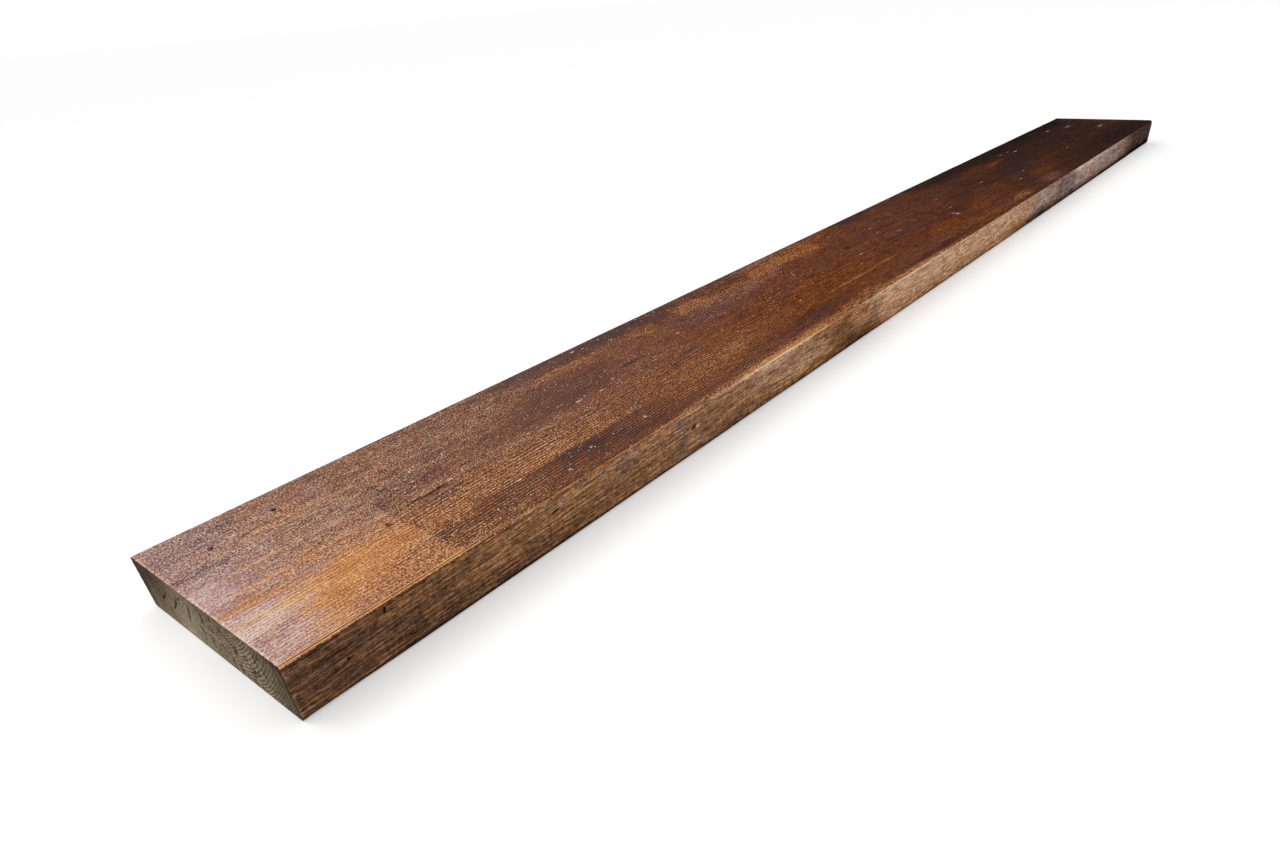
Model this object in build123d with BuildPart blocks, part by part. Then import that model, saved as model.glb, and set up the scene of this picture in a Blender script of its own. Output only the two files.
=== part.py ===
from build123d import *
import os
from math import asin, atan2, degrees, sqrt

# Decking board: one plank of softwood, planed, eased along its four long edges and crosscut
# square at both ends. X runs along the grain, Y across the board and Z up. The origin is the
# middle of the underside. The close end is at -X, and the front edge is at -Y.

# Plank
board_length = 1500.0
board_width = 145.0
board_thickness = 32.0
arris_radius = 2.0

# Stretch of the top front arris that handling has rubbed rounder
worn_length = 300.0
worn_radius = 4.5
worn_place_share = 0.27

# Top front corner of the far end, knocked off by a fall
knock_depth = 2.6

# Heart of the log, above the top face: the drying checks point at it
heart_above_top = 30.0
heart_from_front = 64.0

# Drying checks in the close end: across from the front, up, and part of the longest one
check_length = 18.0
check_width = 0.6
check_depth = 4.0
check_shares = (
    (0.820, 0.55, 0.85),
    (0.731, 0.57, 1.00),
    (0.619, 0.56, 0.92),
    (0.555, 0.34, 0.70),
    (0.506, 0.66, 0.75),
    (0.500, 0.25, 0.50),
    (0.334, 0.53, 0.78),
    (0.247, 0.48, 0.80),
)

# Pin holes in the top face: along from the close end and across from the front
pin_hole_radius = 0.7
pin_hole_depth = 3.0
pin_hole_shares = ((0.0183, 0.789), (0.0443, 0.842), (0.0617, 0.372))

# Slit, dent and nick in the front edge: along from the close end and up
slit_length = 3.4
slit_width = 0.9
slit_depth = 1.5
slit_lean = 70.0
slit_along_share = 0.0335
slit_up_share = 0.86
dent_radius = 0.6
dent_depth = 0.8
dent_along_share = 0.0187
dent_up_share = 0.50
nick_length = 4.5
nick_width = 1.5
nick_depth = 1.2
nick_lean = 25.0
nick_along_share = 0.19
nick_up_share = 0.60

# What a cutter reaches past the wood
cut_overrun = 5.0

close_end = -board_length / 2
far_end = board_length / 2
front_edge = -board_width / 2

top_face = Plane.XY.offset(board_thickness)
front_face = Plane(origin=(0, front_edge, 0), x_dir=(1, 0, 0), z_dir=(0, -1, 0))
close_face = Plane(origin=(close_end, 0, 0), x_dir=(0, -1, 0), z_dir=(-1, 0, 0))


def along(share):
    """Place along the board of a share of its length, counted from the close end."""
    return close_end + share * board_length


def across(share):
    """Place across the board of a share of its width, counted from the front."""
    return front_edge + share * board_width


def cut_worn_arris():
    """A long shallow hollow of round section, turned about an axis far out from the arris."""
    corner_drop = sqrt(2) - 1
    hollow = (worn_radius - arris_radius) * corner_drop
    turn_radius = ((worn_length / 2) ** 2 + hollow**2) / (2 * hollow)
    turn = 2 * degrees(asin(worn_length / turn_radius))
    corner = Vector(along(worn_place_share), front_edge, board_thickness)
    outward = Vector(0, -1, 1).normalized()
    axis_point = corner + outward * (turn_radius - worn_radius * corner_drop)
    turn_axis = Axis(origin=axis_point, direction=(0, 1, 1))
    # Local x points into the board from the corner line, and local y up
    with BuildSketch(Plane(origin=corner, x_dir=(0, 1, 0), z_dir=(1, 0, 0))) as section:
        with BuildLine():
            RadiusArc((worn_radius, 0), (0, -worn_radius), -worn_radius)
            Polyline(
                (0, -worn_radius),
                (-cut_overrun, -worn_radius),
                (-cut_overrun, cut_overrun),
                (worn_radius, cut_overrun),
                (worn_radius, 0),
            )
        make_face()
    start_section = section.sketch.rotate(turn_axis, -turn / 2)
    revolve(start_section, axis=turn_axis, revolution_arc=turn, mode=Mode.SUBTRACT)


def cut_knocked_corner():
    """The flat left where the far top front corner was struck."""
    outward = Vector(1, -1, 1).normalized()
    corner = Vector(far_end, front_edge, board_thickness)
    with BuildSketch(Plane(origin=corner - outward * knock_depth, z_dir=outward)) as struck:
        Circle(knock_depth + cut_overrun)
    extrude(struck.sketch, amount=knock_depth + cut_overrun, mode=Mode.SUBTRACT)


def cut_drying_checks():
    """Narrow blind splits in the close end, each in line with the heart of the log."""
    heart_across = front_edge + heart_from_front
    heart_up = board_thickness + heart_above_top
    with BuildSketch(close_face) as checks:
        for across_share, up_share, length_share in check_shares:
            check_across = across(across_share)
            check_up = up_share * board_thickness
            lean = degrees(atan2(heart_up - check_up, check_across - heart_across))
            with Locations((-check_across, check_up)):
                Ellipse(length_share * check_length / 2, check_width / 2, rotation=lean)
    extrude(checks.sketch, amount=-check_depth, mode=Mode.SUBTRACT)


def cut_pin_holes():
    """Small blind holes in the top face."""
    with BuildSketch(top_face) as holes:
        for along_share, across_share in pin_hole_shares:
            with Locations((along(along_share), across(across_share))):
                Circle(pin_hole_radius)
    extrude(holes.sketch, amount=-pin_hole_depth, mode=Mode.SUBTRACT)


def cut_front_marks():
    """A slit, a dent and a nick in the front edge."""
    with BuildSketch(front_face) as slit:
        with Locations((along(slit_along_share), slit_up_share * board_thickness)):
            SlotOverall(slit_length, slit_width, rotation=slit_lean)
    extrude(slit.sketch, amount=-slit_depth, mode=Mode.SUBTRACT)
    with BuildSketch(front_face) as dent:
        with Locations((along(dent_along_share), dent_up_share * board_thickness)):
            Circle(dent_radius)
    extrude(dent.sketch, amount=-dent_depth, mode=Mode.SUBTRACT)
    with BuildSketch(front_face) as nick:
        with Locations((along(nick_along_share), nick_up_share * board_thickness)):
            SlotOverall(nick_length, nick_width, rotation=nick_lean)
    extrude(nick.sketch, amount=-nick_depth, mode=Mode.SUBTRACT)


with BuildPart() as decking_board:
    with BuildSketch(Plane.YZ.offset(close_end)):
        with Locations((0, board_thickness / 2)):
            RectangleRounded(board_width, board_thickness, arris_radius)
    extrude(amount=board_length)
    cut_worn_arris()
    cut_knocked_corner()
    cut_drying_checks()
    cut_pin_holes()
    cut_front_marks()

decking_board.part.label = "decking_board"

os.makedirs("parts", exist_ok=True)
export_step(decking_board.part, "parts/decking_board.step")
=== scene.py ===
from math import atan2, cos, exp, hypot, radians, sin, sqrt

import bmesh
import bpy
from bpy.props import FloatProperty, FloatVectorProperty, PointerProperty
from mathutils import Matrix, Vector, noise


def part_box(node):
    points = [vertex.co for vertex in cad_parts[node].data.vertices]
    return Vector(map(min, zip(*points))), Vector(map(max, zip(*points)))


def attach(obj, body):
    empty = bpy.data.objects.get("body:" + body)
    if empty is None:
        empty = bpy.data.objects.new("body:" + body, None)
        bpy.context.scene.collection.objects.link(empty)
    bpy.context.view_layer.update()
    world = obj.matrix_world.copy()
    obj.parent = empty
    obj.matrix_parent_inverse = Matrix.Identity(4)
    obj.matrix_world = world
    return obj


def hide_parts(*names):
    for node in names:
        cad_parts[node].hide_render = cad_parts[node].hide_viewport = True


bl_info = {
    "name": "Stained decking board",
    "version": (1, 0, 0),
    "blender": (4, 5, 0),
    "location": "View3D > Sidebar > Board",
    "description": "Dresses a plain plank as a worn, stained softwood decking board",
    "category": "Add Mesh",
}

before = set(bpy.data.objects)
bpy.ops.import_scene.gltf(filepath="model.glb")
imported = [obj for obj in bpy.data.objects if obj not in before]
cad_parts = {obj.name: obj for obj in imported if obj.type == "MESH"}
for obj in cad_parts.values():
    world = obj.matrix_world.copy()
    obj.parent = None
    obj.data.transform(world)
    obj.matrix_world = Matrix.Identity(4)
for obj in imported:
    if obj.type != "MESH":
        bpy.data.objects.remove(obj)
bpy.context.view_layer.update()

MM = 0.001
PLANK = "decking_board"
LOWEST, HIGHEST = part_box(PLANK)
LENGTH, WIDTH, THICKNESS = ((HIGHEST - LOWEST) / MM)[:]
CLOSE_END = LOWEST.x / MM
FRONT = LOWEST.y / MM

# Every place on the board is in millimetres: along from the close end, across from the front
# edge, up from the underside.

# The log: its heart lies above the top face and sways along the board in slow waves
HEART_ACROSS = 64.0
HEART_UP = 62.0
HEART_TAPER = -0.008
HEART_SWAY = 3.0
HEART_WAVES = (310.0, 260.0)
RING_SPACING = 1.75

# The knot that breaks out of the front edge: along, up, half length, half height. It pushes the
# rings aside, less and less from the edge inward.
KNOT = (1056.0, 15.0, 17.0, 13.0)
KNOT_PUSH = 9.0
KNOT_REACH = 40.0

# Stretch of the top front arris that is rubbed rounder, as on the solid
WORN_ALONG = 405.0
WORN_LENGTH = 300.0
WORN_RADIUS = 4.5

# Top front corner of the far end, struck off
KNOCK_DEPTH = 2.6

# Where something lay over the board and kept the stain lighter
COVERED_LENGTH = 99.0

# Drying checks in the close end: across, up, length, width
CHECKS = (
    (118.9, 17.6, 15.3, 1.2),
    (106, 18.2, 18, 1.8),
    (91.5, 18.5, 16.6, 2.4),
    (81.5, 11.5, 12.6, 2.1),
    (74.5, 22.5, 10.5, 2),
    (73, 10.5, 10, 2),
    (67, 20.5, 6, 2.4),
    (62, 11.5, 6, 2.6),
    (62.5, 19, 6.5, 2.4),
    (57, 24.5, 5, 2.4),
    (49.5, 18.5, 9.5, 3),
    (38.5, 17.5, 5.5, 2.4),
    (34, 11, 6.5, 3.2),
    (96.5, 25.5, 5, 1.2),
    (23.5, 25.5, 4.5, 2),
)
CHECK_DEPTH = 3.0

# Pin holes in the top face: along and across
PIN_HOLES = ((27.45, 114.4), (66.45, 122.1), (92.55, 53.9))
PIN_HOLE_RADIUS = 1.6
PIN_HOLE_DEPTH = 2.5

# Slit, dent, nick and a small split in the front edge, a little larger than life so that they
# show: along, up, half length, half width, lean, depth
FRONT_MARKS = (
    (50.8, 27.8, 2.1, 0.9, 72, 1.3),
    (28, 16, 1.1, 0.9, 0, 0.8),
    (285, 19.2, 3.2, 1.3, 26, 1.2),
    (160, 22.5, 4.5, 0.7, 8, 0.5),
)

# Pale splinter beside the nick, with the same numbers
SPLINTERS = ((288.6, 18.6, 1.8, 0.7, 26.0, 0.0),)

# Stain on the top face, and a few spots of painted sheen and glint: along, across, half length, half
# width, how much lighter, how much cooler
TOP_STAIN = (
    (8, 98, 16, 3, -0.14, 0.3),
    (15, 54, 17, 3.4, -0.03, -0.75),
    (28, 50, 14, 1.1, 0, -0.8),
    (30, 28, 26, 10, 0.04, 0),
    (6, 36, 16, 14, 0.09, -0.25),
    # Painted sheen near the close end
    (5, 76, 10, 12, 0.04, 0.2),
    (24, 76, 20, 10, 0.035, 0.15),
    (28, 82, 28, 1, 0.12, -0.8),
    (52, 64.5, 46, 1.1, 0.1, -0.8),
    (66, 38, 40, 13, 0.095, -0.65),
    (115, 36, 18, 7, 0.04, 0),
    (48, 18, 34, 10, 0, -0.4),
    (86, 16, 12, 16, -0.02, -0.6),
    (34, 33, 16, 4, -0.04, 0.2),
    (8, 24, 14, 4, -0.1, 0.3),
    (26, 9, 18, 7, 0.06, 0.1),
    (27, 36, 14, 9, 0.04, 0.15),
    (34, 50, 22, 6, 0.01, 0.5),
    (27, 20, 12, 5, 0.03, 0.5),
    (20, 124, 30, 14, -0.06, 0.2),
    (60, 110, 34, 10, 0.055, -0.35),
    (131, 55, 14, 4, -0.08, 0.3),
    (103, 72, 4, 11, -0.06, 0.1),
    (122, 76, 26, 10, -0.045, 0.1),
    (200, 78, 60, 13, -0.045, 0),
    (225, 108, 26, 14, -0.02, 0),
    (120, 18, 22, 12, -0.03, 0),
    (212, 21, 26, 8, -0.05, 0.1),
    (170, 38, 80, 6, 0.01, -1.2),
    (150, 12, 70, 12, 0.015, -0.1),
    (160, 45, 62, 9, 0.04, -0.4),
    (115, 30, 16, 6, 0.05, -0.4),
    (300, 8, 50, 6, -0.03, 0),
    (110, 9, 12, 8, 0.03, 0),
    (175, 52, 26, 7, -0.04, 0),
    (205, 36, 40, 5, 0.05, -0.5),
    (150, 85, 60, 16, -0.02, 0.1),
    (170, 134, 34, 10, -0.035, 0.1),
    (70, 134, 30, 9, -0.005, -0.2),
    (272, 92, 40, 18, -0.035, 0.2),
    (298, 120, 30, 4, 0.03, -0.6),
    (315, 135, 90, 9, -0.05, 0.4),
    (390, 134, 50, 12, -0.02, 0.35),
    (326, 85, 6, 1.3, -0.2, 0.4),
    (350, 36, 46, 12, 0.02, -2.4),
    (425, 40, 55, 14, 0.02, -2.1),
    (376, 119, 14, 8, 0.035, -0.65),
    (443, 121, 20, 9, 0.07, -0.45),
    (455, 98, 50, 14, 0.01, 0.4),
    (510, 110, 50, 12, 0.04, 0),
    (458, 20, 50, 8, -0.035, 0.35),
    (520, 4, 190, 4, 0.05, -0.4),
    (530, 9, 34, 5, 0.025, 0.1),
    (590, 10, 60, 6, 0.02, 0),
    (364, 62, 5, 2.5, -0.06, 0.9),
    (575, 122, 32, 8, 0.08, -0.7),
    (630, 118, 26, 10, 0.06, -0.8),
    (520, 139, 60, 6, 0.02, 0.6),
    (620, 136, 70, 9, 0.045, -0.2),
    (555, 46, 58, 13, 0.015, -1.2),
    (600, 35, 66, 1.5, 0.07, -1),
    (700, 8, 110, 4, -0.05, 0.2),
    (760, 15, 150, 12, 0, 0.35),
    (850, 10, 90, 6, 0.06, -0.5),
    (770, 20, 120, 7, 0.03, -0.2),
    (655, 86, 4, 3, -0.14, 0.4),
    (745, 64, 34, 8, -0.01, 0.6),
    (757, 137, 22, 7, -0.05, 0.6),
    (775, 36, 44, 7, 0.04, -0.7),
    (822, 45, 3, 6, 0.16, 0.6),
    (850, 53, 46, 9, -0.03, 0.1),
    (880, 38, 36, 10, 0.05, -0.5),
    (950, 36, 30, 12, 0.03, -0.9),
    (950, 78, 60, 14, -0.02, 0),
    (935, 13, 26, 7, 0.1, -0.1),
    (975, 134, 60, 14, -0.08, 0.1),
    (1000, 30, 130, 28, 0, 0.35),
    (1045, 106, 48, 15, 0.03, -0.4),
    (1103, 103, 26, 5, 0.1, -1),
    (1082, 34, 34, 8, 0.09, -1),
    (1040, 13, 30, 10, 0.12, 0.2),
    (1065, 68, 36, 18, -0.03, 0.5),
    (1150, 105, 60, 36, -0.025, 0),
    (1250, 52, 280, 8, 0.03, -0.2),
    # The next two zones are painted glints
    (1420, 102, 22, 5, 0.08, 0.9),
    (1437, 60, 20, 8, 0.06, 0.6),
    (1400, 12, 110, 16, -0.04, 0.4),
    (1480, 128, 22, 10, 0.07, 0.8),
    (1436, 135, 34, 10, -0.04, 0),
    (1484, 60, 16, 26, 0.06, 0),
)

# Larger specks of dust and lifted fibre on the top face: along, across, size
SPECKS = (
    (102, 83, 1),
    (118, 82.4, 1.1),
    (118, 74, 0.8),
    (125, 74.5, 0.8),
    (141, 63.6, 1.2),
    (162, 29, 1.3),
    (171, 120, 0.9),
    (186, 13, 0.9),
    (192, 80, 0.8),
    (198, 107, 0.9),
    (212, 21, 0.9),
    (231, 65, 0.9),
    (255, 72, 1.2),
    (260, 19, 1),
    (276, 70.7, 1),
    (295, 76.6, 1.1),
    (318, 137, 1.2),
    (327, 135, 0.8),
    (352, 128, 0.8),
    (388, 91, 1.2),
    (497, 47, 0.9),
    (556, 88, 1),
    (613, 50, 0.8),
    (641, 65, 1.2),
    (683, 123, 1),
    (718, 86, 0.8),
    (728, 99, 1),
    (735, 69, 1),
    (822, 43, 1.3),
    (848, 61, 1.1),
    (858, 140, 1),
    (877, 90, 1.1),
    (983, 77, 1.2),
    (1016, 41, 1.3),
    (1062, 54, 0.9),
    (1157, 116, 1.2),
    (1182, 115, 0.9),
    (1192, 107, 1.5),
    (1238, 52, 0.8),
    (1368, 118, 1.4),
    (1418, 103, 1.5),
    (1434, 60, 2),
)

# Thin drying split in the top face, painted dark inside as shade: its middle, half length and half
# width
SPLIT_ALONG = 125.0
SPLIT_ACROSS = 61.5
SPLIT_HALF_LENGTH = 20.0
SPLIT_HALF_WIDTH = 1.0
SPLIT_DEPTH = 0.5

# How uneven the faces are, how rough the ends, and how deep the close end's top rim is chipped
UNEVENNESS = 0.16
END_ROUGHNESS = 0.08
CHIP_DEPTH = 0.5

# Lightness of the top face along the board, from the close end to the far one. Within the covered
# stretch the stain is paler, and its further rise toward the close end is painted sheen; the
# darkening toward the far end is partly the stain and partly painted shade
TOP_TONES = (
    (0, 0.785), (12, 0.757), (40, 0.675), (98, 0.59), (99.5, 0.472), (180, 0.432), (260, 0.38),
    (440, 0.346), (620, 0.33), (760, 0.31), (900, 0.285), (1000, 0.25), (1150, 0.215),
    (1300, 0.17), (1420, 0.18), (1500, 0.17),
)

# Stain on the front edge: along, up, half length, half height, how much lighter, how much cooler
EDGE_STAIN = (
    (20, 16, 40, 12, -0.02, 0.1),
    (70, 14, 30, 9, -0.06, 0.1),
    (12, 26, 26, 9, -0.02, 0),
    (20, 22.7, 16, 0.7, -0.2, 0),
    (75, 28, 40, 3, 0.04, 0),
    (120, 29, 24, 4, 0, -0.1),
    (372, 28, 28, 4, 0.015, 0),
    (475, 27, 26, 5, -0.06, 0),
    (425, 12, 30, 5, 0.06, 0),
    (480, 5, 50, 4, -0.02, -0.8),
    (950, 4, 60, 5, -0.16, 0),
    (940, 21, 26, 4, -0.05, -0.4),
    (530, 21, 24, 4, -0.04, -0.4),
    (600, 20, 60, 4, 0, -0.4),
    (1150, 28, 60, 4, 0.06, 0),
    (130, 6, 60, 6, -0.06, 0.1),
    (215, 24, 5, 6, -0.04, 0.5),
    (250, 29, 150, 4, 0.05, 0.2),
    (274, 16, 4, 14, -0.05, 0.5),
    (285, 5, 26, 6, 0.08, 0.1),
    (320, 5, 16, 5, -0.06, 0.1),
    (400, 20, 50, 12, 0.05, 0.1),
    (440, 20, 110, 5, -0.03, 0.2),
    (483, 18, 17, 14, -0.11, -0.3),
    (522, 5, 26, 8, -0.22, 0),
    (543, 15, 4, 14, -0.05, 0.7),
    (600, 24, 60, 8, 0.02, 0.1),
    (760, 8, 60, 6, -0.04, -0.2),
    (895, 9, 40, 7, -0.06, -0.4),
    (900, 13, 120, 4, 0.04, 0.1),
    (1075, 13, 40, 4, 0.03, 0.2),
    (965, 22, 22, 10, 0.02, 0.5),
    (960, 6, 30, 8, -0.1, 0.4),
    (1010, 24, 16, 8, 0.03, 0.2),
    (1075, 24, 26, 10, -0.06, 0),
    (325, 20.5, 24, 4, -0.06, 0),
    (1041, 13, 5, 18, -0.16, 0.2),
    (1055, 17, 4, 16, -0.08, 0.6),
    (1068, 12, 5, 14, -0.12, 0.4),
    (1090, 16, 14, 16, -0.1, 0.6),
    (1110, 29, 14, 4, 0.14, 0.2),
    (1160, 20, 26, 8, 0.04, -0.2),
    (1200, 30, 110, 4, 0.07, 0.6),
    (1284, 22, 12, 2, -0.12, 0.3),
    (1368, 24, 18, 9, 0, -0.35),
    (1452, 8, 7, 6, 0.14, -0.6),
)

# Lightness of the edges along the board; the dark far end is partly the stain and partly painted
# shade
EDGE_TONES = (
    (0, 0.425), (60, 0.44), (110, 0.51), (200, 0.55), (300, 0.55), (380, 0.61), (450, 0.6),
    (500, 0.62), (560, 0.75), (700, 0.77), (850, 0.75), (950, 0.71), (1030, 0.6),
    (1110, 0.68), (1200, 0.67), (1290, 0.66), (1350, 0.52), (1390, 0.29), (1500, 0.24),
)

# How cool the edges' stain is along the board
EDGE_COOLNESS = (
    (0, 0.1), (90, 0), (300, 0.05), (560, 0), (850, 0.1), (960, 0.4), (1080, 0.9), (1500, 0.9),
)

# Mesh of the plank: distances between its points
TOP_SPACING = 1.4
EDGE_SPACING = 0.8
UNDER_SPACING = 3.0
ARRIS_SEGMENTS = 4
FIRST_STEP = 0.7
STEP_GROWTH = 0.0105
LONGEST_STEP = 8.0
STRUCK_STEPS = (8.0, 5.5, 3.5, 2.0, 1.0)
SNAP = 1e-6

# Where the mesh is divided more finely: by how many cuts, and how far round each detail
CHECK_CUTS = 2
DETAIL_CUTS = 3
CHECK_REACH_ACROSS = 0.7
CHECK_REACH_UP = 0.5
MARK_REACH = 4.0
SPLIT_REACH = 1.8
SPLIT_STEP = 2

# The same round the specks: from here along the board, to there, how far
SPECK_REACHES = ((0, 310, 2.5), (310, LENGTH, 5.5))

# The plank's materials, in the order in which its mesh holds them
PLANED, SAWN, CROSSCUT = range(3)

# Numbers of the Mix node's sockets for colours
MIX_SHARE, MIX_UNDER, MIX_OVER = 0, 6, 7
MIX_COLOUR = 2

# The stage: floor and lamp in metres, the camera's place in millimetres from the board's middle,
# its turns in degrees, and how far its picture is shifted sideways and up, as shares of its width
FLOOR_HALF_WIDTH = 30.0
FLOOR_GLOW = 0.22
LAMP_WIDTH = 1.2
LAMP_PLACE = (-1.2, 1.1, 1.5)
LAMP_AIM = (-0.3, 0.0, 0.0)
CAMERA_PLACE = (-831.0, -353.5, 246.2)
CAMERA_TURNS = (54.81, 3.84, -51.55)
CAMERA_SHIFTS = (-0.0147, 0.0992)

# What the mesh stores at each point for the materials
VALUE_NAMES = (
    "rings", "ridges", "tone", "coolness", "gloss", "dusty", "turn", "rubbed", "hollow", "soil",
    "speck",
)


def linear(colour):
    """The linear colour of an sRGB hex value, as shaders and lamps take it."""
    parts = [int(colour[start : start + 2], 16) / 255 for start in (1, 3, 5)]
    return tuple(c / 12.92 if c <= 0.04045 else ((c + 0.055) / 1.055) ** 2.4 for c in parts)


def greys(*stops):
    """The stops of a colour ramp that gives a share at each place, instead of a colour."""
    return [(place, (share,) * 3) for place, share in stops]


def ease(low, high, value):
    """0 at low, 1 at high, with a smooth start and end."""
    part = min(max((value - low) / (high - low), 0.0), 1.0)
    return part * part * (3 - 2 * part)


def read_off(stops, value):
    """The value of a line through the given stops."""
    for (start, first), (end, last) in zip(stops, stops[1:]):
        if value <= end:
            part = max(value - start, 0.0) / (end - start)
            return first + (last - first) * part
    return stops[-1][1]


def waver(along, across, up, length, width):
    """Smooth noise between about -1 and 1, drawn out along the grain."""
    return noise.noise(Vector((along / length, across / width, up / width)))


class BoardShape(bpy.types.PropertyGroup):
    arris_radius: FloatProperty(
        name="Arris radius",
        description="Radius of the four eased long edges",
        default=2.0 * MM,
        unit="LENGTH",
    )
    ridge_depth: FloatProperty(
        name="Ridge depth",
        description="How far soft spring wood has worn back between the rings on the edges",
        default=0.45 * MM,
        unit="LENGTH",
    )
    check_depth: FloatProperty(
        name="Check depth",
        description="Depth of the drying checks in the close end",
        default=CHECK_DEPTH * MM,
        unit="LENGTH",
    )


class BoardFinish(bpy.types.PropertyGroup):
    stain_rust: FloatVectorProperty(
        name="Stain",
        description="Brown stain where it is neither thick nor worn",
        subtype="COLOR",
        default=linear("#834826"),
    )
    stain_gold: FloatVectorProperty(
        name="Thin stain",
        description="Stain worn thin, so that the wood glows through",
        subtype="COLOR",
        default=linear("#c87b39"),
    )
    bare_wood: FloatVectorProperty(
        name="Bare end grain",
        description="Weathered end grain between the rings",
        subtype="COLOR",
        default=linear("#a8987f"),
    )


class StageSettings(bpy.types.PropertyGroup):
    lens: FloatProperty(
        name="Lens",
        description="Focal length on a 36 mm wide sensor",
        default=22.36,
        unit="CAMERA",
    )
    sky: FloatProperty(
        name="Sky",
        description="Strength of the even white light from all sides",
        default=0.85,
    )
    lamp: FloatProperty(
        name="Lamp",
        description="Power of the soft lamp behind the board",
        default=9.0,
        unit="POWER",
    )


def add_node(tree, kind, inputs=None, output=0, stops=(), **settings):
    """Adds a shader node with its settings and links, and returns the output asked for.

    inputs holds values or the outputs that feed them, by name or number. A Map Range node has its
    value at 0, the range that it comes from at 1 and 2, and the one that it goes to at 3 and 4.
    stops is the line of places and colours of a colour ramp.
    """
    node = tree.nodes.new("ShaderNode" + kind)
    for name, value in settings.items():
        setattr(node, name, value)
    for key, value in (inputs or {}).items():
        if isinstance(value, bpy.types.NodeSocket):
            tree.links.new(value, node.inputs[key])
        else:
            node.inputs[key].default_value = value
    for place, colour in stops[1:-1]:
        node.color_ramp.elements.new(place)
    for number, (place, colour) in enumerate(stops):
        node.color_ramp.elements[number].position = place
        node.color_ramp.elements[number].color = (*colour, 1)
    return node.outputs[output] if len(node.outputs) else node.inputs[0]


def new_material(name, value_names=()):
    """A bare node material, its tree, its shader, Object coordinates and the mesh's values."""
    material = bpy.data.materials.new(name)
    material.use_nodes = True
    tree = material.node_tree
    tree.nodes.clear()
    surface = add_node(tree, "BsdfPrincipled")
    add_node(tree, "OutputMaterial", {"Surface": surface})
    place = add_node(tree, "TexCoord", output="Object")
    stored = {
        key: add_node(tree, "Attribute", output="Fac", attribute_name=key) for key in value_names
    }
    return material, tree, surface.node, place, stored


def streaks(tree, place, size, detail=3.0, roughness=0.75, distortion=0.0):
    """Noise from -0.5 to 0.5 whose blots are size millimetres long, wide and high."""
    scale = [1 / (part * MM) for part in size]
    drawn = add_node(tree, "VectorMath", {0: place, 1: scale}, operation="MULTIPLY")
    inputs = {"Scale": 1.0, "Detail": detail, "Roughness": roughness, "Distortion": distortion}
    cloud = add_node(tree, "TexNoise", {"Vector": drawn, **inputs})
    return add_node(tree, "Math", {0: cloud, 1: 0.5}, operation="SUBTRACT")


def weighed(tree, base, *parts):
    """base plus each pattern times its weight."""
    for pattern, weight in parts:
        inputs = {0: pattern, 1: weight, 2: base}
        base = add_node(tree, "Math", inputs, operation="MULTIPLY_ADD")
    return base


def ring_profile(tree, rings, wobble, weight):
    """Each year's ring, from -0.5 for pale spring wood to 0.5 for the thin dark line."""
    moved = weighed(tree, rings, (wobble, weight))
    part = add_node(tree, "Math", {0: moved}, operation="FRACT")
    stops = greys((0.0, 0), (0.45, 0.25), (0.86, 1), (1.0, 0))
    line = add_node(tree, "ValToRGB", {"Fac": part}, stops=stops)
    return add_node(tree, "Math", {0: line, 1: 0.5}, operation="SUBTRACT")


def dust(tree, place, cell, least):
    """Pale flecks of dust and lifted fibre of many sizes, about one in each cell of so many mm."""
    scale = (1 / (1.2 * cell * MM), 1 / (cell * MM), 1 / (cell * MM))
    drawn = add_node(tree, "VectorMath", {0: place, 1: scale}, operation="MULTIPLY")
    chance = add_node(tree, "TexVoronoi", {"Vector": drawn, "Scale": 1.0}, "Color")
    size = add_node(tree, "MapRange", {0: chance, 1: least, 2: 1.0, 3: 0.0, 4: 0.30})
    distance = chance.node.outputs["Distance"]
    inside = add_node(tree, "Math", {0: size, 1: distance}, operation="SUBTRACT")
    return add_node(tree, "MapRange", {0: inside, 1: 0.0, 2: 0.08})


def stain_colour(tree, tone, coolness, warm, cool):
    """Colour of the stain: warm and cool each run from their darkest colour to their lightest."""
    places = (0.0, 0.16, 0.30, 0.43, 0.58, 0.70, 0.84, 1.0)
    lines = []
    for colours in (warm, cool):
        stops = list(zip(places, colours))
        lines.append(add_node(tree, "ValToRGB", {"Fac": tone}, stops=stops))
    share = add_node(tree, "MapRange", {0: coolness, 1: 0.0, 2: 1.0})
    inputs = {MIX_SHARE: share, MIX_UNDER: lines[0], MIX_OVER: lines[1]}
    return add_node(tree, "Mix", inputs, MIX_COLOUR, data_type="RGBA")


def tinted(tree, colour, *tints):
    """The colour with each tint laid over it in turn, as far as the tint's share says."""
    for share, tint in tints:
        inputs = {MIX_SHARE: share, MIX_UNDER: colour, MIX_OVER: (*linear(tint), 1)}
        colour = add_node(tree, "Mix", inputs, MIX_COLOUR, data_type="RGBA")
    return colour


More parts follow.
